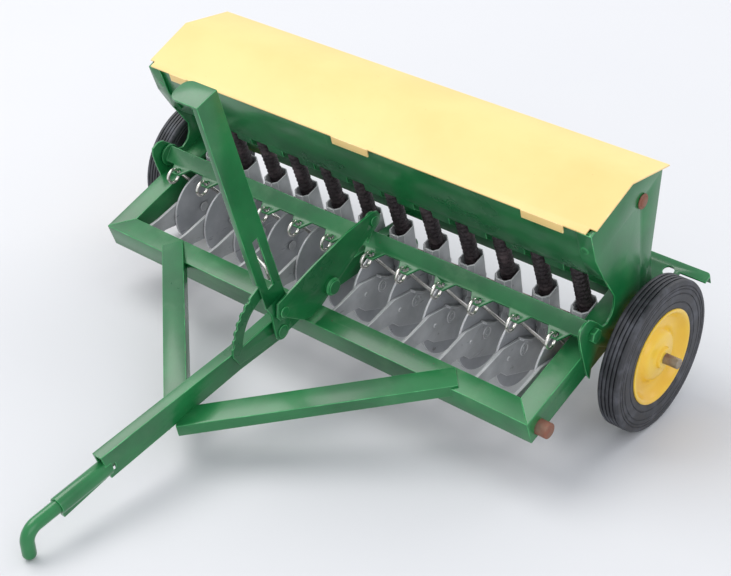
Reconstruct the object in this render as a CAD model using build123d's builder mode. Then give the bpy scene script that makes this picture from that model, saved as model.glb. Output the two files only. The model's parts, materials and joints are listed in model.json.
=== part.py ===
import os
from math import cos, radians, sin

from build123d import *

os.makedirs("parts", exist_ok=True)

# ---------------------------------------------------------------- standing pose
# The drill stands on its two wheels and on the tip of its hitch hook, so the
# deck leans nose-down.  Sketches lie on planes of that deck: x to the right,
# y to the rear, z square to the deck, zero on the wheel axis.  The model's own
# origin is on the ground, halfway between the hook and the rear of the lid.
wheel_radius = 32.5
axle_behind_middle = 92.75
nose_down = 19.4
lean = radians(nose_down)
deck = Plane(
    origin=(0, axle_behind_middle, wheel_radius),
    x_dir=(1, 0, 0),
    z_dir=(0, -sin(lean), cos(lean)),
)


def side(x):
    """Upright fore-and-aft plane at distance x: sketch x is rearward, sketch y is up."""
    origin = deck.from_local_coords((x, 0, 0))
    return Plane(origin=origin, x_dir=deck.y_dir, z_dir=deck.x_dir)


def point(x, y, z):
    """Deck position as a position of the standing machine."""
    return deck.from_local_coords((x, y, z))


def save(piece, name):
    """Label a finished piece and write it out."""
    piece.label = name
    export_step(piece, "parts/" + name + ".step")


def plate(outline, x, thickness, holes=(), discs=()):
    """Flat fore-and-aft plate from x towards +x; holes and discs are (y, z, radius)."""
    with BuildPart() as sheet_piece:
        with BuildSketch(side(x)):
            with BuildLine():
                Polyline(*outline, close=True)
            make_face()
            for y, z, radius in discs:
                with Locations((y, z)):
                    Circle(radius)
            for y, z, radius in holes:
                with Locations((y, z)):
                    Circle(radius, mode=Mode.SUBTRACT)
        extrude(amount=thickness)
    return sheet_piece.part


def pin(x_from, x_to, centre, radius, heads=()):
    """Cross pin along x; heads are (x_from, x_to, radius) collars of the same piece."""
    with BuildPart() as pin_piece:
        with BuildSketch(side(x_from)):
            with Locations(centre):
                Circle(radius)
        extrude(amount=x_to - x_from)
        for head_from, head_to, head_radius in heads:
            with BuildSketch(side(head_from)):
                with Locations(centre):
                    Circle(head_radius)
            extrude(amount=head_to - head_from)
    return pin_piece.part


def mirrored(piece):
    """The same piece for the other side of the machine."""
    with BuildPart() as other:
        mirror(piece, about=Plane.YZ)
    return other.part


# ---------------------------------------------------------------- main sizes
sheet = 1.0
running = 0.08
gap = 0.3
frame_half_width = 116.2
frame_front = -66.7
frame_top = 23.5
member_width = 9.75
member_height = 11.6
side_back = 18.0
frame_bottom = frame_top - member_height
side_inner = frame_half_width - member_width
front_inner = frame_front + member_width
rear_beam_front = 5.0
rear_beam_back = 15.0
rear_beam_depth = 6.0
rod_centre = (-60.5, 15.5)
rod_radius = 3.25
rod_half_length = 121.0
axle_radius = 2.2
rocker_pivot = (-22.2, 29.7)
lever_pivot = (-80.3, 32.0)
crank = (2.9, 9.8)
lever_eye = (lever_pivot[0] + crank[0], lever_pivot[1] + crank[1])
rocker_eye = (rocker_pivot[0] + crank[0], rocker_pivot[1] + crank[1])
pin_radius = 1.3
units_per_side = 6
first_unit = 8.8
unit_pitch = 18.6

# ---------------------------------------------------------------- deck frame
# Front beam: angle section, a top leg and a front skirt, mitred at both ends.
with BuildPart() as front_beam:
    with BuildSketch(deck.offset(frame_top - sheet)):
        with BuildLine():
            Polyline(
                (-frame_half_width, frame_front),
                (frame_half_width, frame_front),
                (side_inner, front_inner),
                (-side_inner, front_inner),
                close=True,
            )
        make_face()
    extrude(amount=sheet)
    with BuildSketch(deck.offset(frame_bottom)):
        with BuildLine():
            Polyline(
                (-frame_half_width, frame_front),
                (frame_half_width, frame_front),
                (frame_half_width - sheet, frame_front + sheet),
                (-frame_half_width + sheet, frame_front + sheet),
                close=True,
            )
        make_face()
    extrude(amount=member_height - sheet)
save(front_beam.part, "frame_front_beam")

# Side members: channels open downwards; the opener rod passes both skirts.
with BuildPart() as side_member:
    with BuildSketch(deck.offset(frame_top - sheet)):
        with BuildLine():
            Polyline(
                (frame_half_width, frame_front),
                (frame_half_width, side_back),
                (side_inner, side_back),
                (side_inner, front_inner),
                close=True,
            )
        make_face()
    extrude(amount=sheet)
    with BuildSketch(deck.offset(frame_bottom)):
        with BuildLine():
            Polyline(
                (frame_half_width, frame_front),
                (frame_half_width, side_back),
                (frame_half_width - sheet, side_back),
                (frame_half_width - sheet, frame_front + sheet),
                close=True,
            )
        make_face()
        with BuildLine():
            Polyline(
                (side_inner, front_inner),
                (side_inner + sheet, front_inner + sheet),
                (side_inner + sheet, side_back),
                (side_inner, side_back),
                close=True,
            )
        make_face()
    extrude(amount=member_height - sheet)
    with BuildSketch(side(side_inner - sheet)):
        with Locations(rod_centre):
            Circle(rod_radius + running)
    extrude(amount=member_width + 2 * sheet, mode=Mode.SUBTRACT)
save(side_member.part, "frame_side_right")
save(mirrored(side_member.part), "frame_side_left")

# Rear beam: shallow channel, open downwards, between the side members.
rear_beam_outline = [
    (rear_beam_front, frame_top - rear_beam_depth),
    (rear_beam_front, frame_top),
    (rear_beam_back, frame_top),
    (rear_beam_back, frame_top - rear_beam_depth),
    (rear_beam_back - sheet, frame_top - rear_beam_depth),
    (rear_beam_back - sheet, frame_top - sheet),
    (rear_beam_front + sheet, frame_top - sheet),
    (rear_beam_front + sheet, frame_top - rear_beam_depth),
]
save(plate(rear_beam_outline, -side_inner, 2 * side_inner), "rear_beam")

# Footboard: step under the rear ends of the side members, winged behind the wheels.
step_front = 12.0
step_back = 38.2
step_half_width = 132.0
step_body_half = 120.4
step_wing_front = 33.0
step_depth = 5.2
step_hole = (115.6, 32.0)
step_hole_radius = 2.4
step_corner = 2.0
with BuildPart() as footboard:
    with BuildSketch(deck.offset(frame_bottom - sheet)):
        with BuildLine():
            Polyline(
                (-step_body_half, step_front),
                (step_body_half, step_front),
                (step_body_half, step_wing_front),
                (step_half_width, step_wing_front),
                (step_half_width, step_back),
                (-step_half_width, step_back),
                (-step_half_width, step_wing_front),
                (-step_body_half, step_wing_front),
                close=True,
            )
        make_face()
        with Locations(step_hole, (-step_hole[0], step_hole[1])):
            Circle(step_hole_radius, mode=Mode.SUBTRACT)
    extrude(amount=sheet)
    with BuildSketch(deck.offset(frame_bottom - step_depth)):
        with Locations((0, step_back - sheet / 2)):
            Rectangle(2 * step_half_width, sheet)
    extrude(amount=step_depth - sheet)
    rear_corners = footboard.edges().filter_by(Axis(deck.origin, deck.z_dir))
    outer_corners = [
        edge
        for edge in rear_corners
        if abs(edge.center().X) > step_half_width - sheet / 2
        and deck.to_local_coords(edge.center()).Y > step_back - sheet / 2
    ]
    fillet(outer_corners, radius=step_corner)
save(footboard.part, "footboard")

# Opener rod: fixed in the side members, its ends stand out either side.
save(
    pin(-rod_half_length, rod_half_length, rod_centre, rod_radius),
    "opener_rod",
)

# ---------------------------------------------------------------- tongue
# Strip folded to a channel open downwards, lying on the front beam.
tongue_half = 2.5
tongue_lug_radius = 6.0
tongue_outline = [
    (-173.0, 54.0),
    (-100.0, 39.0),
    (-60.0, 33.5),
    (-44.0, 29.3),
    (4.5, 14.7),
    (4.5, 4.0),
    (-3.0, 7.6),
    (-45.0, 20.0),
    (front_inner, frame_top),
    (frame_front, frame_top),
    (-81.0, 24.3),
    (-103.0, 29.5),
    (-173.0, 41.5),
]
tongue_inside = [
    (-175.0, 54.4 - sheet),
    (-100.0, 39.0 - sheet),
    (-60.0, 33.5 - sheet),
    (-44.0, 29.3 - sheet),
    (6.0, 14.2 - sheet),
    (6.0, -9.0),
    (-6.0, -9.0),
    (-45.0, 15.0),
    (-62.0, 18.0),
    (-81.0, 20.0),
    (-103.0, 25.0),
    (-175.0, 36.0),
]
hook_radius = 2.75
socket_wall = 0.8
socket_back = (-171.0, 45.6)
socket_front = (-196.0, 50.5)
hook_bend = (-211.0, 53.4)
flange_depth = 6.5
flange_outline = [
    (-174.0, 47.0),
    (-196.0, 50.5),
    (-196.0, 50.5 - flange_depth),
    (-174.0, 41.7),
]
with BuildPart() as tongue:
    with BuildSketch(side(-tongue_half)):
        with BuildLine():
            Polyline(*tongue_outline, close=True)
        make_face()
        Circle(tongue_lug_radius)
    extrude(amount=2 * tongue_half)
    with BuildSketch(side(-tongue_half + sheet)):
        with BuildLine():
            Polyline(*tongue_inside, close=True)
        make_face()
    extrude(amount=2 * (tongue_half - sheet), mode=Mode.SUBTRACT)
    # front end pressed round the hook rod, its two edges closed to a flange below
    add(plate(flange_outline, -sheet, 2 * sheet))
    socket_start = point(0, *socket_back)
    socket_end = point(0, *socket_front)
    socket_plane = Plane(
        origin=socket_start, x_dir=deck.x_dir, z_dir=socket_end - socket_start
    )
    with BuildSketch(socket_plane):
        Circle(hook_radius + socket_wall)
    extrude(amount=(socket_end - socket_start).length)
    with BuildSketch(socket_plane.offset(-2 * sheet)):
        Circle(hook_radius)
    extrude(amount=(socket_end - socket_start).length + 4 * sheet, mode=Mode.SUBTRACT)
    with BuildSketch(side(-2 * tongue_half)):
        with Locations(lever_pivot):
            Circle(pin_radius)
        Circle(axle_radius)
    extrude(amount=4 * tongue_half, mode=Mode.SUBTRACT)
save(tongue.part, "tongue")

# Hitch hook: round bar held in the socket, bent down; its tip stands on the ground.
hook_bend_radius = 6.0
hook_tip_y = -214.0
hook_tip_z = (hook_radius - wheel_radius - hook_tip_y * sin(lean)) / cos(lean)
hook_tip = point(0, hook_tip_y, hook_tip_z)
with BuildPart() as hitch_hook:
    with BuildLine() as hook_path:
        FilletPolyline(socket_start, point(0, *hook_bend), hook_tip, radius=hook_bend_radius)
    with BuildSketch(Plane(origin=hook_path.line @ 0, z_dir=hook_path.line % 0)):
        Circle(hook_radius)
    sweep()
    with Locations(hook_tip):
        Sphere(hook_radius)
save(hitch_hook.part, "hitch_hook")

# Braces: shallow channels from the front beam in to the tongue.
brace_width = 9.6
brace_flange = 6.0
brace_outer_x = 79.0
brace_outer_y = -61.0
brace_inner_y = -137.0
brace_inner_z = 35.0
brace_start = point(brace_outer_x, brace_outer_y, frame_top)
brace_end = point(0, brace_inner_y, brace_inner_z)
brace_axis = brace_end - brace_start
brace_across = brace_axis.cross(deck.z_dir)
brace_plane = Plane(
    origin=brace_start, x_dir=brace_axis, z_dir=brace_across.cross(brace_axis)
)
with BuildPart() as brace:
    with BuildSketch(brace_plane):
        with Locations((brace_axis.length / 2, 0)):
            Rectangle(brace_axis.length, brace_width)
    extrude(amount=sheet)
    with BuildSketch(brace_plane.offset(-brace_flange + sheet)):
        with Locations(
            (brace_axis.length / 2, brace_width / 2 - sheet / 2),
            (brace_axis.length / 2, -brace_width / 2 + sheet / 2),
        ):
            Rectangle(brace_axis.length, sheet)
    extrude(amount=brace_flange - sheet)
    # cut off square at the tongue, and clear of the beam it lies on
    with BuildSketch(deck):
        with Locations((tongue_half, brace_inner_y)):
            Rectangle(
                brace_axis.length, brace_axis.length, align=(Align.MAX, Align.CENTER)
            )
    extrude(amount=brace_axis.length, mode=Mode.SUBTRACT)
    with BuildSketch(deck.offset(frame_top - 2 * member_height)):
        with Locations((0, (frame_front + front_inner) / 2 + member_width / 2)):
            Rectangle(2 * frame_half_width, 2 * member_width)
    extrude(amount=2 * member_height, mode=Mode.SUBTRACT)
save(brace.part, "brace_right")
save(mirrored(brace.part), "brace_left")

# ---------------------------------------------------------------- end plates
# Each end plate carries the hopper, the deck frame, the axle and one rocker ear.
ear_bolt_radius = 1.5
rivet_centre = (19.4, 64.1)
rivet_radius = 1.6
lid_thickness = 0.8
lid_front = (-10.0, 76.65)
lid_lip = (-13.5, 76.4)
lid_ridge = (14.3, 78.6)
lid_rear = (38.3, 67.0)
under_lid = lid_thickness + gap + 0.1
front_wall = -12.2
front_fold = 62.0
front_foot = (-9.2, 49.5)
flange_width = 7.0
boss_radius = 6.5
end_plate_outline = [
    (front_wall - sheet, lid_front[1] - under_lid - 0.3),
    (lid_ridge[0], lid_ridge[1] - under_lid),
    (34.6, lid_rear[1] + 1.75 - under_lid),
    (20.3, 34.1),
    (18.6, 22.7),
    (18.0, frame_bottom),
    (10.0, frame_bottom),
    (boss_radius - 0.5, 3.0),
    (0.0, -boss_radius),
    (-boss_radius, 2.0),
    (-8.5, 7.0),
    (-20.0, 20.0),
    (-25.5, 16.0),
    (-28.7, 9.5),
    (-30.0, 13.4),
    (-30.4, 29.0),
    (-30.0, 35.5),
    (-28.7, 38.3),
    (-25.0, 39.0),
    (-22.0, 37.8),
    (-18.3, 32.5),
    (-15.5, 27.4),
    (-13.1, 26.3),
    (-9.3, 27.6),
    (-7.0, 30.3),
    (-5.6, 34.6),
    (front_foot[0] - sheet, front_foot[1]),
    (front_wall - sheet, front_fold),
]
flange_outline_front = [
    (front_wall - sheet, lid_front[1] - under_lid - 0.3),
    (front_wall, lid_front[1] - under_lid - 0.3),
    (front_wall, front_fold),
    front_foot,
    (front_foot[0] - sheet, front_foot[1]),
    (front_wall - sheet, front_fold),
]
spot_weld_radius = 1.6
with BuildPart() as end_plate:
    add(
        plate(
            end_plate_outline,
            frame_half_width,
            sheet,
            holes=[
                (0, 0, axle_radius),
                (*rocker_pivot, ear_bolt_radius),
                (*rivet_centre, rivet_radius),
            ],
            discs=[(0, 0, boss_radius)],
        )
    )
    add(plate(flange_outline_front, frame_half_width + sheet - flange_width, flange_width))
    weld_plane = Plane(
        origin=point(113.0, front_wall - sheet, 66.0),
        x_dir=deck.x_dir,
        z_dir=-deck.y_dir,
    )
    with BuildSketch(weld_plane):
        Circle(spot_weld_radius)
    extrude(amount=gap, taper=30)
save(end_plate.part, "end_plate_right")
save(mirrored(end_plate.part), "end_plate_left")

# ---------------------------------------------------------------- hopper
# One folded trough with its own end walls, riveted between the end plates.
hopper_bottom = 46.0
hopper_skin = [
    (front_wall, lid_front[1] - under_lid - 0.3),
    (front_wall, front_fold),
    front_foot,
    (-8.6, hopper_bottom),
    (8.0, hopper_bottom),
    (33.0, 63.5),
]
hopper_inside = [
    (front_wall + sheet, lid_front[1]),
    (front_wall + sheet, front_fold),
    (front_foot[0] + sheet, front_foot[1]),
    (-8.0, hopper_bottom + sheet),
    (7.6, hopper_bottom + sheet),
    (33.0, 64.8),
]
hopper_end = hopper_skin + [(lid_ridge[0], lid_ridge[1] - under_lid)]
hopper_rim = hopper_inside + [(33.0, lid_ridge[1]), (lid_ridge[0], lid_ridge[1] + sheet)]
tube_y = -5.8
tube_radius = 3.3
tube_bore = 2.1
tube_end = 17.2
tube_ribs = 12
tube_rib_depth = 0.45
baffle_width = 9.0
baffle_depth = 3.6
baffle_y = -8.1
unit_x = [first_unit + unit_pitch * index for index in range(units_per_side)]
both_sides = [-x for x in reversed(unit_x)] + unit_x
with BuildPart() as hopper:
    add(plate(hopper_end, -frame_half_width, 2 * frame_half_width))
    with BuildSketch(side(-frame_half_width + sheet)):
        with BuildLine():
            Polyline(*hopper_rim, close=True)
        make_face()
    extrude(amount=2 * (frame_half_width - sheet), mode=Mode.SUBTRACT)
    with BuildSketch(side(-frame_half_width - sheet)):
        with Locations(rivet_centre):
            Circle(rivet_radius)
    extrude(amount=2 * (frame_half_width + sheet), mode=Mode.SUBTRACT)
    # outlets over the seed tubes, and a lip turned down between each pair
    with BuildSketch(deck.offset(hopper_bottom - sheet)):
        with Locations(*[(x, tube_y) for x in both_sides]):
            Circle(tube_bore)
    extrude(amount=3 * sheet, mode=Mode.SUBTRACT)
    with BuildSketch(deck.offset(hopper_bottom)):
        with Locations(*[(x + unit_pitch / 2, baffle_y) for x in both_sides[:-1]]):
            Rectangle(baffle_width, sheet)
    extrude(amount=-baffle_depth)
save(hopper.part, "hopper")

hopper_rivet_head = 2.6
rivet_outer = frame_half_width + sheet
hopper_rivet = pin(
    frame_half_width - 1.8,
    rivet_outer + 1.1,
    rivet_centre,
    rivet_radius,
    heads=[
        (rivet_outer, rivet_outer + 0.7, hopper_rivet_head + 0.6),
        (rivet_outer + 0.7, rivet_outer + 1.1, hopper_rivet_head - 0.4),
        (frame_half_width - 1.8, frame_half_width - sheet, hopper_rivet_head - 0.2),
    ],
)
save(Compound([hopper_rivet, mirrored(hopper_rivet)]), "hopper_rivets")


def seed_tube(x):
    """Ribbed hose hanging from a hopper outlet, as a turned profile."""
    rib_pitch = (hopper_bottom - tube_end) / tube_ribs
    profile = [(tube_bore, tube_end), (tube_radius, tube_end)]
    for rib in range(tube_ribs):
        base = tube_end + (rib + 0.5) * rib_pitch
        profile.append((tube_radius - tube_rib_depth, base))
        profile.append((tube_radius, base + rib_pitch / 2))
    profile.append((tube_bore, hopper_bottom))
    axis_plane = Plane(origin=point(x, tube_y, 0), x_dir=deck.x_dir, z_dir=-deck.y_dir)
    with BuildPart() as hose:
        with BuildSketch(axis_plane):
            with BuildLine():
                Polyline(*profile, close=True)
            make_face()
        revolve(axis=Axis(axis_plane.origin, deck.z_dir))
    return hose.part


tubes_right = [seed_tube(x) for x in unit_x]
save(Compound(tubes_right), "seed_tubes_right")
save(Compound([mirrored(hose) for hose in tubes_right]), "seed_tubes_left")

# Lid: one bent sheet over the whole length, three small lips on its front edge.
lid_half = 118.0
lip_height = 4.0
lip_spans = [(-103.0, -92.6), (-8.6, 10.6), (86.0, 105.0)]
lid_notch = 3.0
hinge_centre = (37.6, 64.4)
hinge_rod_radius = 0.8
curl_radius = 1.6
hinge_half_length = 108.0
lid_curls = [-96.0, -48.0, 0.0, 48.0, 96.0]
curl_half_width = 6.0
knuckles = [-72.0, -24.0, 24.0, 72.0]
lid_outline = [
    lid_lip,
    lid_front,
    lid_ridge,
    lid_rear,
    (lid_rear[0], lid_rear[1] - lid_thickness),
    (lid_ridge[0], lid_ridge[1] - lid_thickness),
    (lid_front[0], lid_front[1] - lid_thickness),
    (lid_lip[0], lid_lip[1] - lid_thickness),
]
lip_outline = [
    (lid_lip[0] - lid_thickness / 2, lid_lip[1]),
    (lid_lip[0] + lid_thickness / 2, lid_lip[1]),
    (lid_lip[0] + lid_thickness / 2 - 0.3, lid_lip[1] - lip_height),
    (lid_lip[0] - lid_thickness / 2 - 0.3, lid_lip[1] - lip_height),
]
with BuildPart() as lid:
    add(plate(lid_outline, -lid_half, 2 * lid_half))
    for corner in (-1, 1):
        with BuildSketch(deck.offset(lid_lip[1] - 2 * lid_thickness)):
            with Locations((corner * lid_half, lid_lip[0])):
                Rectangle(2 * lid_notch, 2 * lid_notch)
        extrude(amount=4 * lid_thickness, mode=Mode.SUBTRACT)
    for lip_from, lip_to in lip_spans:
        add(plate(lip_outline, lip_from, lip_to - lip_from))
    for curl in lid_curls:
        with BuildSketch(side(curl - curl_half_width)):
            with Locations(hinge_centre):
                Circle(curl_radius)
            with BuildLine():
                Polyline(
                    (lid_rear[0] - 0.9, lid_rear[1] - 0.1),
                    (lid_rear[0], lid_rear[1] - 0.6),
                    (hinge_centre[0] + curl_radius, hinge_centre[1]),
                    (hinge_centre[0] + 0.6, hinge_centre[1]),
                    close=True,
                )
            make_face()
            with Locations(hinge_centre):
                Circle(hinge_rod_radius + running, mode=Mode.SUBTRACT)
        extrude(amount=2 * curl_half_width)
save(lid.part, "lid")
with BuildPart() as hopper_hinge:
    for knuckle in knuckles:
        with BuildSketch(side(knuckle - curl_half_width)):
            with Locations(hinge_centre):
                Circle(curl_radius)
            with BuildLine():
                Polyline(
                    (31.2, 62.2),
                    (33.0, 63.5),
                    (hinge_centre[0] - 0.6, hinge_centre[1] + 0.6),
                    (hinge_centre[0], hinge_centre[1] - curl_radius),
                    (32.0, 61.4),
                    close=True,
                )
            make_face()
            with Locations(hinge_centre):
                Circle(hinge_rod_radius, mode=Mode.SUBTRACT)
        extrude(amount=2 * curl_half_width)
    add(hopper.part, mode=Mode.SUBTRACT)
save(Compound(list(hopper_hinge.part.solids())), "hopper_hinge_knuckles")
save(
    pin(-hinge_half_length, hinge_half_length, hinge_centre, hinge_rod_radius),
    "lid_hinge_rod",
)

# ---------------------------------------------------------------- wheels
axle_half_length = 139.0
save(pin(-axle_half_length, axle_half_length, (0, 0), axle_radius), "axle")
tyre_inner_x = 121.6
tyre_outer_x = 131.3
rim_radius = 20.5
shoulder = 0.4
groove = 0.7
groove_width = 0.8
hub_radius = 4.4
wheel_plane = Plane(origin=deck.origin, x_dir=(1, 0, 0), z_dir=(0, -1, 0))
wheel_axis = Axis(deck.origin, (1, 0, 0))
wheel_profile = [
    (118.0, axle_radius + running),
    (132.6, axle_radius + running),
    (132.6, hub_radius),
    (130.6, hub_radius + 1.2),
    (130.2, hub_radius + 5.0),
    (127.6, hub_radius + 7.2),
    (127.4, rim_radius - 4.6),
    (129.6, rim_radius - 2.4),
    (131.5, rim_radius - 1.2),
    (131.5, rim_radius),
    (tyre_inner_x, rim_radius),
    (tyre_inner_x, rim_radius - sheet),
    (128.6, rim_radius - sheet - 0.6),
    (126.2, rim_radius - 4.6),
    (126.4, hub_radius + 7.0),
    (129.0, hub_radius + 4.6),
    (129.2, hub_radius + 1.4),
    (126.0, hub_radius),
    (118.0, hub_radius),
]
tread_step = (tyre_outer_x - tyre_inner_x - 2 * shoulder) / 5
tyre_profile = [(tyre_inner_x, rim_radius), (tyre_inner_x, wheel_radius - 2.0)]
tyre_profile.append((tyre_inner_x + shoulder, wheel_radius - shoulder))
for rib in range(5):
    rib_from = tyre_inner_x + shoulder + rib * tread_step
    rib_to = rib_from + tread_step
    tyre_profile.append((rib_from + groove_width / 2, wheel_radius))
    tyre_profile.append((rib_to - groove_width / 2, wheel_radius))
    if rib < 4:
        tyre_profile.append((rib_to, wheel_radius - groove))
tyre_profile += [
    (tyre_outer_x - shoulder, wheel_radius - shoulder),
    (tyre_outer_x, wheel_radius - 2.0),
    (tyre_outer_x, wheel_radius - 2.8),
    (tyre_outer_x - 0.4, wheel_radius - 3.1),
    (tyre_outer_x - 0.4, wheel_radius - 3.5),
    (tyre_outer_x, wheel_radius - 3.8),
    (tyre_outer_x, wheel_radius - 8.6),
    (tyre_outer_x - 0.4, wheel_radius - 8.9),
    (tyre_outer_x - 0.4, wheel_radius - 9.3),
    (tyre_outer_x, wheel_radius - 9.6),
    (tyre_outer_x, rim_radius),
]


def turned(profile):
    """Solid of revolution about the wheel axis from (x, radius) points."""
    with BuildPart() as body:
        with BuildSketch(wheel_plane):
            with BuildLine():
                Polyline(*profile, close=True)
            make_face()
        revolve(axis=wheel_axis)
    return body.part


wheel_right = turned(wheel_profile)
tyre_right = turned(tyre_profile)
save(wheel_right, "wheel_right")
save(mirrored(wheel_right), "wheel_left")
save(tyre_right, "tyre_right")
save(mirrored(tyre_right), "tyre_left")

# ---------------------------------------------------------------- lift linkage
# Quadrant: notched arc about the lever pivot, welded to the tongue's right side.
arc_outer = 25.3
arc_inner = 19.5
notch_radius = 1.2
notch_angles = [108.0 + 9.0 * step for step in range(6)]
with BuildPart() as quadrant:
    with BuildSketch(side(tongue_half)):
        with Locations(lever_pivot):
            Circle(arc_outer)
            Circle(arc_inner, mode=Mode.SUBTRACT)
        with BuildLine():
            Polyline(
                (lever_pivot[0] - 0.5, 20.0),
                (lever_pivot[0] - 0.5, 75.0),
                (-60.0, 75.0),
                (-40.0, 20.0),
                close=True,
            )
        make_face(mode=Mode.SUBTRACT)
        with BuildLine():
            Polyline((-110.0, 39.6), (-110.0, 5.0), (-50.0, 5.0), (-50.0, 30.0), close=True)
        make_face(mode=Mode.SUBTRACT)
        with BuildLine():
            Polyline(
                (-104.5, 39.0),
                (-100.0, 39.8),
                (-73.0, 35.9),
                (-73.0, 27.5),
                (-81.0, 27.0),
                (-103.0, 33.0),
                close=True,
            )
        make_face()
        for angle in notch_angles:
            notch_y = lever_pivot[0] + (arc_outer + 0.4) * cos(radians(angle))
            notch_z = lever_pivot[1] + (arc_outer + 0.4) * sin(radians(angle))
            with Locations((notch_y, notch_z)):
                Circle(notch_radius, mode=Mode.SUBTRACT)
        with Locations(lever_pivot):
            Circle(pin_radius, mode=Mode.SUBTRACT)
    extrude(amount=sheet)
save(quadrant.part, "quadrant")

# Lever: flat bar beside the quadrant, stepped outwards to its lug at the pivot.
blade_x = tongue_half + sheet + 0.4
lug_x = blade_x + 1.8
blade_foot = 46.0
lug_top = 43.5
lever_top = 150.0
blade_width = 11.0
foot_y = -77.0
top_y = -72.4
slot_low = 54.0
slot_high = 80.0
slot_width = 3.0
handle_reach = 15.0
lug_radius = 4.0


def blade_centre(z):
    """Middle of the lever blade at height z."""
    share = (z - blade_foot) / (lever_top - blade_foot)
    return foot_y + share * (top_y - foot_y)


blade_outline = [
    (foot_y - blade_width / 2, blade_foot),
    (top_y - blade_width / 2, lever_top),
    (top_y + blade_width / 2, lever_top),
    (foot_y + blade_width / 2, blade_foot),
]
slot_outline = [
    (blade_centre(slot_low) - slot_width / 2, slot_low),
    (blade_centre(slot_high) - slot_width / 2, slot_high),
    (blade_centre(slot_high) + slot_width / 2, slot_high),
    (blade_centre(slot_low) + slot_width / 2, slot_low),
]
lug_outline = [
    (foot_y - blade_width / 2, lug_top),
    (foot_y + blade_width / 2, lug_top),
    (foot_y + blade_width / 2, 40.0),
    (lever_pivot[0] + lug_radius, lever_pivot[1]),
    (lever_pivot[0] - lug_radius, lever_pivot[1]),
]
with BuildPart() as lever:
    add(plate(blade_outline, blade_x, sheet))
    with BuildSketch(side(blade_x - sheet)):
        with BuildLine():
            Polyline(*slot_outline, close=True)
        make_face()
    extrude(amount=3 * sheet, mode=Mode.SUBTRACT)
    # joggle between blade and lug
    joggle_plane = Plane(
        origin=point(0, foot_y - blade_width / 2, 0), x_dir=deck.x_dir, z_dir=deck.y_dir
    )
    with BuildSketch(joggle_plane):
        with BuildLine():
            Polyline(
                (blade_x, -blade_foot - 0.6),
                (blade_x + sheet, -blade_foot - 0.6),
                (lug_x + sheet, -lug_top),
                (lug_x + sheet, -lug_top + 0.6),
                (lug_x, -lug_top + 0.6),
                (blade_x, -blade_foot + 0.4),
                close=True,
            )
        make_face()
    extrude(amount=blade_width)
    add(
        plate(
            lug_outline,
            lug_x,
            sheet,
            holes=[
                (*lever_pivot, pin_radius + running),
                (*lever_eye, pin_radius + running),
            ],
            discs=[(*lever_pivot, lug_radius)],
        )
    )
    with BuildSketch(side(lug_x - sheet)):
        with Locations(lever_pivot, lever_eye):
            Circle(pin_radius + running)
    extrude(amount=3 * sheet, mode=Mode.SUBTRACT)
    # stiffening edge turned in along the front of the blade
    edge_outline = [
        (foot_y - blade_width / 2, blade_foot + 14.0),
        (top_y - blade_width / 2, lever_top),
        (top_y - blade_width / 2 + sheet, lever_top),
        (foot_y - blade_width / 2 + sheet, blade_foot + 14.0),
    ]
    add(plate(edge_outline, blade_x - 1.6, 1.6 + sheet))
    # hand tab bent inwards over the top
    with BuildSketch(deck.offset(lever_top - sheet)):
        with Locations((blade_x + sheet - handle_reach / 2, top_y)):
            Rectangle(handle_reach, blade_width)
    extrude(amount=sheet)
    handle_corners = [
        edge
        for edge in lever.edges().filter_by(Axis(deck.origin, deck.z_dir))
        if edge.center().X < blade_x + sheet - handle_reach + 0.1
    ]
    fillet(handle_corners, radius=4.0)
save(lever.part, "lever")

# Latch spring: a hairpin of wire lying in the lever slot, looped behind the blade.
wire_radius = 0.7
wire_points = [
    (blade_x + sheet + wire_radius, 59.0),
    (blade_x + sheet + wire_radius, 66.0),
    (blade_x - 2.4, 70.0),
    (blade_x - 7.5, 73.0),
    (blade_x - 9.5, 66.0),
    (blade_x - 5.0, 61.0),
]
with BuildPart() as latch_wire:
    with BuildLine() as wire_path:
        FilletPolyline(*[point(x, blade_centre(z), z) for x, z in wire_points], radius=1.5)
    with BuildSketch(Plane(origin=wire_path.line @ 0, z_dir=wire_path.line % 0)):
        Circle(wire_radius)
    sweep()
save(latch_wire.part, "latch_wire")

link_x = lug_x + sheet + 0.8
lever_pivot_pin = pin(
    -tongue_half - 0.8,
    lug_x + sheet + 0.5,
    lever_pivot,
    pin_radius,
    heads=[
        (-tongue_half - 0.8, -tongue_half, pin_radius + 1.0),
        (lug_x + sheet + 0.05, lug_x + sheet + 0.5, pin_radius + 1.5),
    ],
)
save(lever_pivot_pin, "lever_pivot_pin")

# Lift link: plate from the lever to the crank of the rocker bar.
link_outline = [
    (-78.9, 47.6),
    (-56.9, 48.0),
    (-34.9, 47.0),
    (-18.6, 44.0),
    (-16.0, 42.4),
    (-15.0, 39.5),
    (-16.6, 36.2),
    (-20.0, 35.2),
    (-26.0, 35.0),
    (-58.8, 26.8),
    (-66.0, 26.8),
    (-70.5, 29.5),
    (-77.2, 37.8),
    (-80.6, 39.6),
    (-81.5, 42.0),
]
stud_centre = (-51.5, 31.5)
save(
    plate(
        link_outline,
        link_x,
        sheet,
        holes=[
            (*lever_eye, pin_radius),
            (*rocker_eye, pin_radius),
            (*stud_centre, pin_radius),
        ],
    ),
    "lift_link",
)
pin_head = 2.4
link_face = link_x + sheet
save(
    pin(lug_x - 0.2, link_face + 0.7, lever_eye, pin_radius,
        heads=[(link_face, link_face + 0.7, pin_head)]),
    "link_front_pin",
)
save(
    pin(lug_x - 0.6, link_face + 0.7, rocker_eye, pin_radius,
        heads=[(link_face, link_face + 0.7, pin_head)]),
    "link_rear_pin",
)
save(
    pin(link_x - 0.4, link_face + 2.6, stud_centre, pin_radius,
        heads=[(link_face, link_face + 1.6, 4.0), (link_face + 1.6, link_face + 2.6, 3.2),
               (link_x - 0.4, link_x, 2.2)]),
    "link_stud",
)

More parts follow.
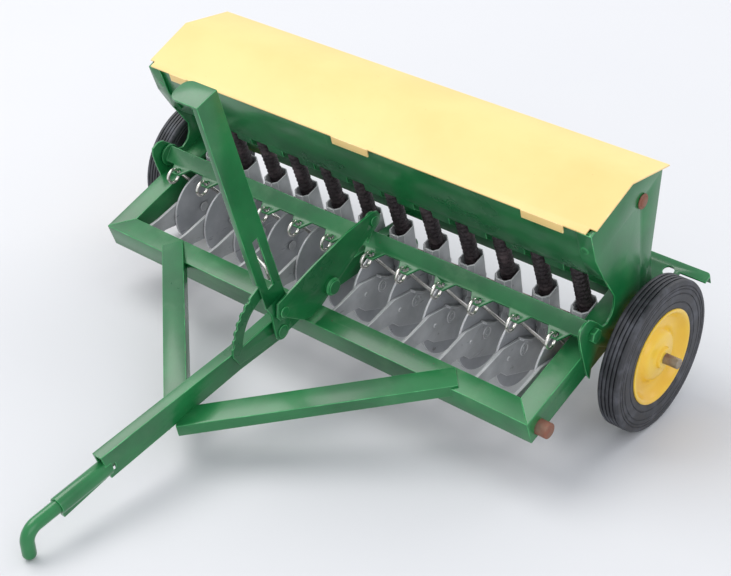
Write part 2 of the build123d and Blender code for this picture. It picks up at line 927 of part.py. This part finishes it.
# Rocker bar: folded strip across the machine, a scalloped tab for every lift rod.
fold = (-25.5, 28.4)
strip_top = (-20.0, 33.5)
rocker_half = 115.5
tab_front = -30.6
tab_width = 11.0
tab_hole = (-28.5, fold[1] + sheet / 2)
tab_hole_radius = 1.6
lift_rod_offset = 2.3
rocker_ear_radius = 5.0
crank_width = 7.0
bolt_reach = 1.6
strip_outline = [
    fold,
    (fold[0] + 0.9, fold[1] - 0.4),
    (strip_top[0] + 0.7, strip_top[1] - 0.7),
    strip_top,
    (fold[0], fold[1] + sheet),
]
with BuildPart() as rocker_bar:
    add(plate(strip_outline, -rocker_half, 2 * rocker_half))
    for hand in (-1, 1):
        for x in unit_x:
            centre = hand * (x + lift_rod_offset)
            with BuildSketch(deck.offset(fold[1])):
                with Locations((centre, (tab_front + fold[0] + 0.5) / 2)):
                    Trapezoid(tab_width, abs(tab_front - fold[0]) + 0.5, 60, rotation=180)
                with Locations((centre, tab_hole[0])):
                    Circle(tab_hole_radius, mode=Mode.SUBTRACT)
            extrude(amount=sheet)
    ear_x = rocker_half - sheet
    for ear_from in (-rocker_half, ear_x):
        add(
            plate(
                [fold, (strip_top[0], strip_top[1] - 1), (rocker_pivot[0] + 3, 26.5), (-25.0, 26.4)],
                ear_from,
                sheet,
                discs=[(*rocker_pivot, rocker_ear_radius)],
            )
        )
        with BuildSketch(side(ear_from - bolt_reach)):
            with Locations(rocker_pivot):
                Circle(ear_bolt_radius + running)
        extrude(amount=sheet + 2 * bolt_reach, mode=Mode.SUBTRACT)
    # crank that the lift link pushes
    add(
        plate(
            [
                (fold[0] + 1.0, fold[1]),
                (rocker_eye[0] - crank_width / 2, rocker_eye[1]),
                (rocker_eye[0] + crank_width / 2, rocker_eye[1]),
                (strip_top[0] + 0.7, strip_top[1] - 0.7),
            ],
            lug_x,
            sheet,
            discs=[(*rocker_eye, crank_width / 2)],
        )
    )
    with BuildSketch(side(lug_x)):
        with Locations(rocker_eye):
            Circle(pin_radius + running)
    extrude(amount=sheet, mode=Mode.SUBTRACT)
save(rocker_bar.part, "rocker_bar")

# Rocker bolts: hexagon heads outside the ears, shanks through the bar's end flanges.
hex_across_flats = 5.6
bolt_head = 2.2
with BuildPart() as rocker_bolt:
    with BuildSketch(side(rocker_half - sheet - bolt_reach)):
        with Locations(rocker_pivot):
            Circle(ear_bolt_radius)
    extrude(amount=frame_half_width - rocker_half + 2 * sheet + bolt_reach)
    with BuildSketch(side(frame_half_width + sheet)):
        with Locations(rocker_pivot):
            RegularPolygon(hex_across_flats / 2, 6, major_radius=False)
    extrude(amount=bolt_head)
save(Compound([rocker_bolt.part, mirrored(rocker_bolt.part)]), "rocker_bolts")

# ---------------------------------------------------------------- openers
# Each opener is a thin casting swinging on the rod: eye, side plate and boot cup.
disc_centre = (-26.0, 6.2)
disc_radius = 17.5
disc_face = -1.3
disc_thickness = 1.0
hub_rivet_radius = 1.2
lift_hole = (-13.5, -5.5)
lift_rod_radius = 0.8
lift_hole_radius = 1.25
casting_inner = -1.0
casting_outer = 0.3
eye_radius = 4.8
eye_outer = 2.2
cup_y = tube_y - 0.4
cup_across = 8.4
cup_flare = 1.3
cup_top = 23.5
cup_waist = 8.5
casting_outline = [
    (-60.5, 20.3),
    (-49.8, 18.6),
    (-37.2, 17.9),
    (-26.7, 13.0),
    (-17.5, 4.0),
    (-12.0, 12.0),
    (-6.0, 8.0),
    (-7.5, 1.0),
    (-11.0, -4.0),
    (-12.0, -9.0),
    (-19.0, -14.1),
    (-27.8, -6.5),
    (-39.2, 3.1),
    (-42.0, 8.0),
    (-48.9, 11.0),
    (-60.5, 10.7),
]
wedge_outline = [
    (-13.6, cup_waist),
    (-13.0, 1.0),
    (-11.0, -3.5),
    (-7.0, -2.6),
    (-3.8, 3.2),
    (-1.0, cup_waist),
]


def cup_section(x, y, z, across, along):
    """Octagon across the boot cup at height z, corners cut like the pleats below."""
    half_x = across / 2
    half_y = along / 2
    cut = across / 4
    outline = [
        (x - half_x, y - half_y + cut),
        (x - half_x + cut, y - half_y),
        (x + half_x - cut, y - half_y),
        (x + half_x, y - half_y + cut),
        (x + half_x, y + half_y - cut),
        (x + half_x - cut, y + half_y),
        (x - half_x + cut, y + half_y),
        (x - half_x, y + half_y - cut),
    ]
    with BuildSketch(deck.offset(z)) as section:
        with BuildLine():
            Polyline(*outline, close=True)
        make_face()
    return section.sketch


def opener(x):
    """One right-hand opener casting at distance x."""
    with BuildPart() as casting:
        add(
            plate(
                casting_outline,
                x + casting_inner,
                casting_outer - casting_inner,
                discs=[(*rod_centre, eye_radius)],
            )
        )
        with BuildSketch(side(x + casting_inner)):
            with Locations(rod_centre):
                Circle(eye_radius)
        extrude(amount=eye_outer - casting_inner)
        # flared boot cup under the seed tube
        lower = cup_section(x - cup_flare / 2, cup_y - 3.0, cup_waist, cup_across + cup_flare, 13.0)
        upper = cup_section(x, cup_y, cup_top, cup_across, 10.8)
        loft([lower.faces()[0], upper.faces()[0]])
        add(plate(wedge_outline, x + casting_inner, 1.2 - casting_inner))
        mouth = cup_section(x, cup_y, cup_top - 5.6, cup_across - 1.0, 9.4)
        extrude(mouth, amount=6.0, dir=deck.z_dir, mode=Mode.SUBTRACT)
        with BuildSketch(deck.offset(cup_top - 7.3)):
            with Locations((x, tube_y)):
                Circle(tube_radius + gap)
        extrude(amount=3.0, mode=Mode.SUBTRACT)
        # stiffening edge along the back of the plate
        add(
            plate(
                [(-27.2, 12.8), (-26.4, 13.4), (-21.4, 8.2), (-22.2, 7.4)],
                x + casting_inner,
                1.9 - casting_inner,
            )
        )
        # room for the disc on the inner face
        with BuildSketch(side(x - unit_pitch / 3)):
            with Locations(disc_centre):
                Circle(disc_radius + 0.4)
        extrude(amount=unit_pitch / 3 + casting_inner, mode=Mode.SUBTRACT)
        with BuildSketch(side(x + casting_outer)):
            with Locations(disc_centre):
                Circle(2.9)
                Circle(2.0, mode=Mode.SUBTRACT)
            with Locations((-36.0, 10.6)):
                Circle(0.9)
        extrude(amount=0.4)
        with BuildSketch(side(x - 2 * eye_radius)):
            with Locations(rod_centre):
                Circle(rod_radius + running)
            with Locations(lift_hole):
                Circle(lift_hole_radius)
            with Locations(disc_centre):
                Circle(hub_rivet_radius)
        extrude(amount=4 * eye_radius, mode=Mode.SUBTRACT)
    return casting.part


def disc(x):
    """Flat coulter disc running on its rivet."""
    with BuildPart() as blade:
        with BuildSketch(side(x + disc_face - disc_thickness)):
            with Locations(disc_centre):
                Circle(disc_radius)
                Circle(hub_rivet_radius + running, mode=Mode.SUBTRACT)
        extrude(amount=disc_thickness)
        rims = blade.edges().filter_by(GeomType.CIRCLE).sort_by(SortBy.RADIUS)[-2:]
        chamfer(rims, length=disc_thickness / 4)
    return blade.part


def disc_rivet(x):
    """Rivet that holds the disc to its casting."""
    inner = x + disc_face - disc_thickness - 0.7
    return pin(
        inner,
        x + casting_outer + 0.2,
        disc_centre,
        hub_rivet_radius,
        heads=[(inner, inner + 0.4, 2.2)],
    )


loop_radius = 3.2
loop_wire = 0.7


def lift_rod(x):
    """Wire from a rocker tab down to its opener, with an eye through the tab."""
    rod_x = x + lift_rod_offset
    with BuildPart() as rod:
        with BuildLine() as rod_path:
            FilletPolyline(
                point(rod_x, *tab_hole),
                point(rod_x, *lift_hole),
                point(x + casting_inner + 0.1, *lift_hole),
                radius=1.0,
            )
        with BuildSketch(Plane(origin=rod_path.line @ 0, z_dir=rod_path.line % 0)):
            Circle(lift_rod_radius)
        sweep()
        loop_centre = point(rod_x, tab_hole[0] - loop_radius, tab_hole[1])
        eye_plane = Plane(origin=loop_centre, x_dir=deck.y_dir, z_dir=deck.x_dir)
        with Locations(eye_plane):
            Torus(loop_radius, loop_wire)
    return rod.part


openers = [opener(x) for x in unit_x]
for number, casting_piece in enumerate(openers, start=1):
    save(casting_piece, "opener_right_" + str(number))
    save(mirrored(casting_piece), "opener_left_" + str(number))
discs = [disc(x) for x in unit_x]
save(Compound(discs), "discs_right")
save(Compound([mirrored(blade) for blade in discs]), "discs_left")
rivets = [disc_rivet(x) for x in unit_x]
save(Compound(rivets + [mirrored(rivet) for rivet in rivets]), "disc_rivets")
lift_rods = [lift_rod(x) for x in unit_x]
save(Compound(lift_rods), "lift_rods_right")
save(Compound([mirrored(rod) for rod in lift_rods]), "lift_rods_left")
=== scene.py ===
import bpy
import json
import math
from mathutils import Matrix, Vector


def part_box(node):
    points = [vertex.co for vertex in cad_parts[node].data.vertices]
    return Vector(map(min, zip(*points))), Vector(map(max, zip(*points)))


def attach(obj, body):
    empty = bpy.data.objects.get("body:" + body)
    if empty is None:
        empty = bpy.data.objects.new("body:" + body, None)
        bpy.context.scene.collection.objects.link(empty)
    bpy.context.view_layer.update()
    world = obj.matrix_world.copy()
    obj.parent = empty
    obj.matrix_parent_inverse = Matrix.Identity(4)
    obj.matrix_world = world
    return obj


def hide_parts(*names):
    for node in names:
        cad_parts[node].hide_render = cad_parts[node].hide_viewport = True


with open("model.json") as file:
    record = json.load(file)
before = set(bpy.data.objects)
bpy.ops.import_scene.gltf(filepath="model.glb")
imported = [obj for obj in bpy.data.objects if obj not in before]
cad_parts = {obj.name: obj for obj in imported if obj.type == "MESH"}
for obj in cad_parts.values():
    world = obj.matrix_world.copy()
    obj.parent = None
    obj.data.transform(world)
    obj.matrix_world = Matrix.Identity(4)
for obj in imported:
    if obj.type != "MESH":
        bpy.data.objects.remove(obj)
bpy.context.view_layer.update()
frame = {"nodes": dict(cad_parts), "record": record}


# ---------------------------------------------------------------- deck frame
# Folded sheet-steel channels, spot welded to one another and dipped in green
# enamel; the eased edges are a lighter green, a painted highlight with thinned and chipped paint in it,
# and the front beam is scuffed.
class Wire:
    """A shader socket that takes part in sums, so that a finish reads as a formula."""

    def __init__(self, tree, socket):
        self.tree = tree
        self.socket = socket

    def plug(self, value, socket):
        if isinstance(value, Wire):
            self.tree.links.new(value.socket, socket)
        else:
            socket.default_value = value

    def sum(self, operation, first, second):
        node = self.tree.nodes.new("ShaderNodeMath")
        node.operation = operation
        self.plug(first, node.inputs[0])
        self.plug(second, node.inputs[1])
        return Wire(self.tree, node.outputs[0])

    def __add__(self, other):
        return self.sum("ADD", self, other)

    __radd__ = __add__

    def __sub__(self, other):
        return self.sum("SUBTRACT", self, other)

    def __rsub__(self, other):
        return self.sum("SUBTRACT", other, self)

    def __mul__(self, other):
        return self.sum("MULTIPLY", self, other)

    __rmul__ = __mul__

    def step(self, low, high):
        """0 below low, 1 above high, smooth between."""
        node = self.tree.nodes.new("ShaderNodeMapRange")
        node.interpolation_type = "SMOOTHSTEP"
        self.plug(self, node.inputs["Value"])
        node.inputs["From Min"].default_value = low
        node.inputs["From Max"].default_value = high
        return Wire(self.tree, node.outputs["Result"])

    def node(self, kind, output, inputs=None, **settings):
        """Any other shader node; inputs go in by socket name."""
        node = self.tree.nodes.new(kind)
        for name, value in settings.items():
            setattr(node, name, value)
        for name, value in (inputs or {}).items():
            self.plug(value, node.inputs[name])
        return Wire(self.tree, node.outputs[output])

    def blend(self, first, second):
        """Colour going from first to second as this wire goes from 0 to 1."""
        node = self.tree.nodes.new("ShaderNodeMix")
        node.data_type = "RGBA"
        self.plug(self, node.inputs[0])
        for place, colour in ((6, first), (7, second)):
            self.plug(colour if isinstance(colour, Wire) else (*colour, 1), node.inputs[place])
        return Wire(self.tree, node.outputs[2])


def new_finish(name):
    """Empty material: its principled shader and the object's own coordinates."""
    material = bpy.data.materials.new(name)
    material.use_nodes = True
    tree = material.node_tree
    shader = tree.nodes["Principled BSDF"]
    place = tree.nodes.new("ShaderNodeTexCoord")
    return material, shader, Wire(tree, place.outputs["Object"])


def grain(place, scale, detail=4.0, stretch=(1, 1, 1), roughness=0.55):
    """Soft noise over the object, in grains per metre."""
    spot = place.node("ShaderNodeMapping", "Vector", {"Vector": place, "Scale": stretch})
    return place.node(
        "ShaderNodeTexNoise",
        "Fac",
        {"Vector": spot, "Scale": scale, "Detail": detail, "Roughness": roughness},
    )


def relief(place, height, strength, distance):
    return place.node(
        "ShaderNodeBump",
        "Normal",
        {"Height": height, "Strength": strength, "Distance": distance},
    )


def enamel(name, colour, deep, worn, gloss, wear, coat=0.3):
    """Stove enamel on sheet steel: shade drift, hand-worn dust, hairline scratches."""
    material, shader, place = new_finish(name)
    drift = grain(place, 26.0).step(0.3, 0.72)
    dust = grain(place, 75.0, 7.0).step(0.62 - 0.14 * wear, 0.86)
    hair = grain(place, 190.0, 3.0, (1.0, 0.06, 0.5)).step(0.69, 0.74)
    hair_two = grain(place, 170.0, 3.0, (0.07, 1.0, 0.8)).step(0.69, 0.75)
    scuffs = dust * 0.42 * wear + (hair + hair_two) * 0.22 * wear
    rubbed = scuffs.sum("MINIMUM", scuffs, 1.0)
    body = drift.blend(deep, colour)
    shader_colour = rubbed.blend(body, worn)
    speck = grain(place, 620.0, 2.0).step(0.735, 0.76)
    chipped = speck * wear * 0.8
    place.plug(chipped.blend(shader_colour, (0.09, 0.06, 0.045)), shader.inputs["Base Color"])
    place.plug(dust * 0.22 + drift * 0.05 + gloss, shader.inputs["Roughness"])
    shader.inputs["Coat Weight"].default_value = coat
    shader.inputs["Coat Roughness"].default_value = 0.16
    orange_peel = grain(place, 900.0, 2.0) * 0.5 + dust * 0.2 - chipped
    place.plug(relief(place, orange_peel, 0.22, 0.00025), shader.inputs["Normal"])
    return material


def rubbed_edge(name, colour, bare, amount):
    """The outer corners of an enamelled sheet, in a base colour lighter than the sheet as a painted
    highlight, where the paint has also thinned and chipped.
    """
    material, shader, place = new_finish(name)
    thin = grain(place, 120.0, 6.0).step(0.62 - amount, 0.70)
    chip = grain(place, 330.0, 5.0).step(0.60, 0.66) * thin
    pale = [min(1.0, channel * 1.6 + 0.05) for channel in colour]
    place.plug(chip.blend(thin.blend(colour, pale), bare), shader.inputs["Base Color"])
    place.plug(0.28 + thin * 0.2, shader.inputs["Roughness"])
    place.plug(chip * 0.55, shader.inputs["Metallic"])
    shader.inputs["Coat Weight"].default_value = 0.25
    return material


def only(piece):
    """Leaves one object selected and active."""
    bpy.ops.object.select_all(action="DESELECT")
    piece.select_set(True)
    bpy.context.view_layer.objects.active = piece


body_of_node = {
    node: body
    for body, nodes in frame["record"]["behaviour"]["bodies"].items()
    for node in nodes
}


def dressed(node, skin, edge=None, radius=0.00016, segments=2, smooth=35):
    """The CAD piece with its sharp corners eased, so that they catch the light."""
    mesh = frame["nodes"][node].data.copy()
    piece = bpy.data.objects.new(node + "_finished", mesh)
    bpy.context.scene.collection.objects.link(piece)
    mesh.materials.clear()
    mesh.materials.append(skin)
    if edge:
        mesh.materials.append(edge)
    for face in mesh.polygons:
        face.material_index = 0
    only(piece)
    bpy.ops.object.mode_set(mode="EDIT")
    bpy.ops.mesh.select_all(action="SELECT")
    bpy.ops.mesh.remove_doubles(threshold=1e-6)
    bpy.ops.mesh.dissolve_limited(angle_limit=math.radians(0.5))
    bpy.ops.object.mode_set(mode="OBJECT")
    if radius:
        ease = piece.modifiers.new("ease", "BEVEL")
        ease.width = radius
        ease.segments = segments
        ease.limit_method = "ANGLE"
        ease.angle_limit = math.radians(38)
        ease.use_clamp_overlap = False
        if edge:
            ease.material = 1
        bpy.ops.object.modifier_apply(modifier="ease")
    bpy.ops.object.shade_smooth_by_angle(angle=math.radians(smooth))
    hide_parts(node)
    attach(piece, body_of_node[node])
    return piece


green = (0.012, 0.190, 0.052)
green_deep = (0.006, 0.105, 0.030)
green_worn = (0.16, 0.34, 0.17)
green_enamel = enamel("green_enamel", green, green_deep, green_worn, 0.27, 0.55)
green_scuffed = enamel("green_enamel_scuffed", green, green_deep, green_worn, 0.33, 1.0)
# The edge colour is a lighter green than the enamel: a painted highlight on every eased edge. Its chips
# and thinned patches are wear.
green_edge_highlight_and_wear = rubbed_edge("green_enamel_edge", (0.03, 0.27, 0.08), (0.34, 0.30, 0.22), 0.16)
for node in ("frame_front_beam", "frame_side_left", "frame_side_right"):
    dressed(node, green_scuffed, green_edge_highlight_and_wear, 0.00025, 3)
for node in ("rear_beam", "footboard"):
    dressed(node, green_enamel, green_edge_highlight_and_wear, 0.0002, 2)

# ---------------------------------------------------------------- tongue and braces
# Strip steel folded over and pressed round the hook bar; the two braces are
# shallow channels welded on at both ends.  Same green enamel as the deck.
for node in ("tongue", "brace_left", "brace_right", "quadrant"):
    dressed(node, green_enamel, green_edge_highlight_and_wear, 0.00022, 3)
dressed("hitch_hook", green_enamel, None, 0, smooth=60)

# ---------------------------------------------------------------- hopper and end plates
# Folded trough riveted between two blanked end plates; cleaner paint than the
# deck, with a rubbed fold along the foot of the front wall and a painted highlight in lighter green on its
# eased edges.
for node in ("hopper", "end_plate_left", "end_plate_right"):
    dressed(node, green_enamel, green_edge_highlight_and_wear, 0.00022, 2)
dressed("hopper_hinge_knuckles", green_enamel, None, 0.0001)

# ---------------------------------------------------------------- lid
# One bent sheet in yellow enamel, faded by the sun and chipped at its corners.
lid_yellow = enamel(
    "lid_enamel", (0.93, 0.67, 0.27), (0.90, 0.62, 0.235), (0.95, 0.75, 0.42), 0.46, 0.22, 0.05
)
lid_edge = rubbed_edge("lid_enamel_edge", (0.93, 0.66, 0.30), (0.42, 0.27, 0.15), 0.05)
dressed("lid", lid_yellow, lid_edge, 0.00018, 3)

# ---------------------------------------------------------------- lift linkage
# Blanked and painted plates on steel pins: lever, link and rocker bar.  The
# bar's top is rubbed through by the lift rods rattling on it.
for node in ("lever", "lift_link"):
    dressed(node, green_enamel, green_edge_highlight_and_wear, 0.0002, 3)
dressed("rocker_bar", green_scuffed, green_edge_highlight_and_wear, 0.00014, 2)
for node in ("link_front_pin", "link_rear_pin", "link_stud", "lever_pivot_pin"):
    dressed(node, green_enamel, green_edge_highlight_and_wear, 0.00035, 4)
dressed("rocker_bolts", green_scuffed, green_edge_highlight_and_wear, 0.00035, 3)


# ---------------------------------------------------------------- bare and plated steel
# Axle and opener rod are plain bars that have browned; the lift rods and the
# latch spring are plated wire.
def bare_steel(name, clean, rust, amount, rough):
    material, shader, place = new_finish(name)
    patch = grain(place, 140.0, 7.0).step(0.62 - amount, 0.74 - amount * 0.4)
    drawn = grain(place, 600.0, 3.0, (0.05, 1, 1))
    place.plug(patch.blend(clean, rust), shader.inputs["Base Color"])
    place.plug(rough + patch * 0.35 + drawn * 0.08, shader.inputs["Roughness"])
    place.plug(1.0 - patch * 0.9, shader.inputs["Metallic"])
    place.plug(relief(place, patch * 0.6 + drawn * 0.3, 0.4, 0.0002), shader.inputs["Normal"])
    return material


browned = bare_steel("browned_steel", (0.36, 0.31, 0.24), (0.17, 0.075, 0.045), 0.22, 0.34)
rusted = bare_steel("rusted_rivet", (0.30, 0.20, 0.15), (0.26, 0.10, 0.065), 0.40, 0.45)
plated = bare_steel("plated_wire", (0.80, 0.77, 0.72), (0.50, 0.42, 0.35), -0.06, 0.22)
dressed("axle", browned, None, 0.0003, 3)
dressed("opener_rod", rusted, None, 0.0004, 3)
dressed("hopper_rivets", rusted, None, 0.0003, 3)
dressed("lid_hinge_rod", browned, None, 0.0001)
for node in ("lift_rods_left", "lift_rods_right", "latch_wire"):
    dressed(node, plated, None, 0, smooth=60)


# ---------------------------------------------------------------- openers and discs
# Thin grey castings on the rod, each with a boot cup and a flat disc riveted
# to its inner face; dull, with a little grime, and near-white rims that are a painted highlight as well as
# rubbed metal.
def dull_metal(name, light, dark, rough):
    material, shader, place = new_finish(name)
    cloud = grain(place, 90.0, 6.0).step(0.30, 0.75)
    scratch = grain(place, 420.0, 3.0, (1.0, 0.12, 0.6)).step(0.60, 0.70)
    grime = grain(place, 210.0, 6.0).step(0.66, 0.80)
    shade = grime.blend(cloud.blend(dark, light), (0.10, 0.085, 0.075))
    place.plug(shade, shader.inputs["Base Color"])
    place.plug(rough + grime * 0.25 - scratch * 0.12, shader.inputs["Roughness"])
    shader.inputs["Metallic"].default_value = 0.2
    place.plug(relief(place, cloud * 0.4 + scratch * 0.3, 0.35, 0.0002), shader.inputs["Normal"])
    return material


casting = dull_metal("opener_casting", (0.52, 0.53, 0.54), (0.39, 0.40, 0.41), 0.38)
# The rims' near-white grey is a painted highlight on every eased edge, partly rubbed metal.
rim_highlight_and_rub = dull_metal("opener_rim", (0.80, 0.80, 0.80), (0.64, 0.64, 0.65), 0.28)
disc_steel = dull_metal("disc_steel", (0.43, 0.44, 0.46), (0.33, 0.34, 0.36), 0.34)
for side in ("left", "right"):
    for number in range(1, 7):
        dressed("opener_" + side + "_" + str(number), casting, rim_highlight_and_rub, 0.00016, 2)
    dressed("discs_" + side, disc_steel, rim_highlight_and_rub, 0.0001, 2)
dressed("disc_rivets", casting, rim_highlight_and_rub, 0.00015, 2)


# ---------------------------------------------------------------- seed tubes
# Ribbed dark hoses pushed on under the hopper, dusty on their ribs.
def dark_rubber(name, black, dust_colour, dusty):
    material, shader, place = new_finish(name)
    dust = grain(place, 160.0, 7.0).step(0.50 - dusty, 0.80)
    pores = grain(place, 1500.0, 3.0)
    place.plug((dust * 0.6).blend(black, dust_colour), shader.inputs["Base Color"])
    place.plug(0.50 + dust * 0.25, shader.inputs["Roughness"])
    place.plug(relief(place, pores * 0.6 + dust * 0.3, 0.5, 0.0002), shader.inputs["Normal"])
    return material


hose = dark_rubber("hose_rubber", (0.022, 0.014, 0.017), (0.13, 0.09, 0.095), 0.03)
for node in ("seed_tubes_left", "seed_tubes_right"):
    dressed(node, hose, None, 0, smooth=75)

# ---------------------------------------------------------------- wheels
# Solid rubber tyre with a five-ribbed tread on a pressed and enamelled disc;
# the tyre's walls carry fine moulded rings and years of dust.
tyre_black = dark_rubber("tyre_rubber", (0.026, 0.027, 0.032), (0.15, 0.155, 0.18), 0.08)
hub_yellow = enamel(
    "hub_enamel", (0.90, 0.60, 0.055), (0.80, 0.47, 0.03), (0.93, 0.70, 0.20), 0.30, 0.25, 0.3
)
hub_edge = rubbed_edge("hub_enamel_edge", (0.90, 0.62, 0.08), (0.4, 0.25, 0.08), 0.02)
axle_low, axle_high = (Vector(corner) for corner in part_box("axle"))
axle_middle = (axle_low + axle_high) / 2
axle_reach = axle_middle.y
axle_height = axle_middle.z


def spun(name, profile, steps, skin, sharp):
    """A ring turned about the axle from (x, radius) points in millimetres."""
    places = [Vector((x / 1000, axle_reach, axle_height + r / 1000)) for x, r in profile]
    bpy.ops.object.select_all(action="DESELECT")
    bpy.ops.mesh.primitive_plane_add(size=0.001, location=places[0])
    piece = bpy.context.active_object
    piece.name = name
    bpy.ops.object.mode_set(mode="EDIT")
    bpy.ops.mesh.select_all(action="SELECT")
    bpy.ops.mesh.merge(type="CENTER")
    for here, there in zip(places, places[1:] + places[:1]):
        bpy.ops.mesh.extrude_region_move(TRANSFORM_OT_translate={"value": there - here})
    bpy.ops.mesh.select_all(action="SELECT")
    bpy.ops.mesh.remove_doubles(threshold=1e-6)
    bpy.ops.mesh.select_all(action="SELECT")
    bpy.ops.mesh.spin(
        steps=steps, angle=math.tau, center=(0, axle_reach, axle_height), axis=(1, 0, 0)
    )
    bpy.ops.mesh.select_all(action="SELECT")
    bpy.ops.mesh.remove_doubles(threshold=1e-6)
    bpy.ops.mesh.select_all(action="SELECT")
    bpy.ops.mesh.normals_make_consistent(inside=False)
    bpy.ops.object.mode_set(mode="OBJECT")
    bpy.ops.object.transform_apply(location=True, rotation=True, scale=True)
    piece.data.materials.append(skin)
    bpy.ops.object.shade_smooth_by_angle(angle=math.radians(sharp))
    return piece


def other_side(piece, name):
    """The same ring on the left wheel."""
    twin = bpy.data.objects.new(name, piece.data.copy())
    bpy.context.scene.collection.objects.link(twin)
    twin.data.transform(Matrix.Scale(-1, 4, (1, 0, 0)))
    only(twin)
    bpy.ops.object.mode_set(mode="EDIT")
    bpy.ops.mesh.select_all(action="SELECT")
    bpy.ops.mesh.normals_make_consistent(inside=False)
    bpy.ops.object.mode_set(mode="OBJECT")
    bpy.ops.object.shade_smooth_by_angle(angle=math.radians(30))
    return twin


tyre_profile = [(121.6, 20.5), (121.6, 23.0)]
for ring in (24.0, 28.6, 30.0):
    tyre_profile += [
        (121.6, ring - 0.35), (121.85, ring - 0.15),
        (121.85, ring + 0.15), (121.6, ring + 0.35),
    ]
tyre_profile += [(121.65, 31.2), (121.9, 31.9), (122.3, 32.3)]
for rib in range(5):
    rib_from = 122.1 + rib * 1.74
    tyre_profile += [
        (rib_from + 0.32, 32.42), (rib_from + 0.6, 32.5),
        (rib_from + 1.2, 32.5), (rib_from + 1.45, 32.42),
    ]
    if rib < 4:
        tyre_profile += [(rib_from + 1.6, 31.7), (rib_from + 1.88, 31.7)]
tyre_profile += [(130.9, 32.25), (131.2, 31.9), (131.3, 31.2)]
for ring in (30.1, 28.9, 27.0, 23.4):
    tyre_profile += [
        (131.3, ring + 0.3), (131.0, ring + 0.12),
        (131.0, ring - 0.12), (131.3, ring - 0.3),
    ]
tyre_profile += [(131.25, 21.6), (130.9, 20.9), (130.9, 20.5)]
tyre = spun("tyre_right_finished", tyre_profile, 144, tyre_black, 30)
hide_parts("tyre_right")
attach(tyre, "wheel_right")
tyre_twin = other_side(tyre, "tyre_left_finished")
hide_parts("tyre_left")
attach(tyre_twin, "wheel_left")

disc_profile = [
    (118.0, 2.28), (132.6, 2.28), (132.6, 4.0), (132.3, 4.4), (131.2, 4.7), (130.75, 5.4),
    (130.6, 6.6), (130.45, 8.6), (130.2, 9.6), (129.6, 10.5), (128.6, 11.2), (127.8, 11.9),
    (127.5, 12.8), (127.45, 14.0), (127.6, 15.4), (128.2, 16.6), (129.2, 17.5), (130.3, 18.3),
    (131.1, 18.9), (131.45, 19.5), (131.5, 20.0), (131.3, 20.4), (130.9, 20.5), (121.6, 20.5),
    (121.6, 19.6), (128.3, 19.5), (128.6, 18.9), (127.6, 17.9), (126.8, 16.8), (126.4, 15.4),
    (126.25, 14.0), (126.3, 12.4), (126.8, 11.2), (127.8, 10.2), (128.9, 9.2), (129.2, 7.6),
    (129.2, 5.8), (128.4, 4.8), (126.8, 4.4), (118.0, 4.4),
]
wheel = spun("wheel_right_finished", disc_profile, 128, hub_yellow, 32)
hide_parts("wheel_right")
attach(wheel, "wheel_right")
wheel_twin = other_side(wheel, "wheel_left_finished")
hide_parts("wheel_left")
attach(wheel_twin, "wheel_left")

# ---------------------------------------------------------------- floor, light, camera
# A pale sweep under soft studio light; the camera looks down from the front right.
bpy.ops.object.select_all(action="DESELECT")
bpy.ops.mesh.primitive_plane_add(size=60.0, location=(0, 0, -0.0002))
floor = bpy.context.active_object
floor.name = "studio_floor"
paper, paper_shader, paper_place = new_finish("studio_paper")
mottle = grain(paper_place, 3.0)
paper_tone = mottle.blend((0.66, 0.668, 0.69), (0.70, 0.705, 0.72))
paper_place.plug(paper_tone, paper_shader.inputs["Base Color"])
paper_shader.inputs["Roughness"].default_value = 0.8
paper_shader.inputs["Specular IOR Level"].default_value = 0.1
floor.data.materials.append(paper)

world = bpy.data.worlds.new("studio_air")
bpy.context.scene.world = world
world.use_nodes = True
world.node_tree.nodes["Background"].inputs["Color"].default_value = (0.93, 0.95, 1.0, 1)
world.node_tree.nodes["Background"].inputs["Strength"].default_value = 0.78


def soft_light(name, place, target, size, watts, colour):
    light = bpy.data.lights.new(name, "AREA")
    light.shape = "RECTANGLE"
    light.size = size
    light.size_y = size * 0.8
    light.energy = watts
    light.color = colour
    lamp = bpy.data.objects.new(name, light)
    bpy.context.scene.collection.objects.link(lamp)
    lamp.location = place
    aim = Vector(target) - Vector(place)
    lamp.rotation_euler = aim.to_track_quat("-Z", "Y").to_euler()


soft_light("window", (-0.7, axle_reach - 0.25, 1.25), (0, axle_reach, 0.05), 1.1, 12.0, (1.0, 0.985, 0.96))
soft_light("bounce", (1.1, axle_reach - 0.7, 0.7), (0, axle_reach, 0.05), 1.2, 4.5, (0.95, 0.97, 1.0))
soft_light("back", (0.2, axle_reach + 1.2, 0.9), (0, axle_reach, 0.08), 1.0, 5.0, (1.0, 1.0, 1.0))

camera_data = bpy.data.cameras.new("camera")
camera_data.lens = 79.37
camera_data.sensor_width = 36.0
camera_data.clip_start = 0.01
camera = bpy.data.objects.new("camera", camera_data)
bpy.context.scene.collection.objects.link(camera)
camera_place = Vector((0.3840, axle_reach - 0.4741, 0.3969))
camera_target = Vector((-0.0015, axle_reach - 0.0255, 0.0236))
camera_roll = math.radians(-0.46)
turn = (camera_target - camera_place).to_track_quat("-Z", "Y").to_matrix().to_4x4()
roll = Matrix.Rotation(camera_roll, 4, "Z")
camera.matrix_world = Matrix.Translation(camera_place) @ turn @ roll
bpy.context.scene.camera = camera
bpy.context.scene.view_settings.view_transform = "Standard"
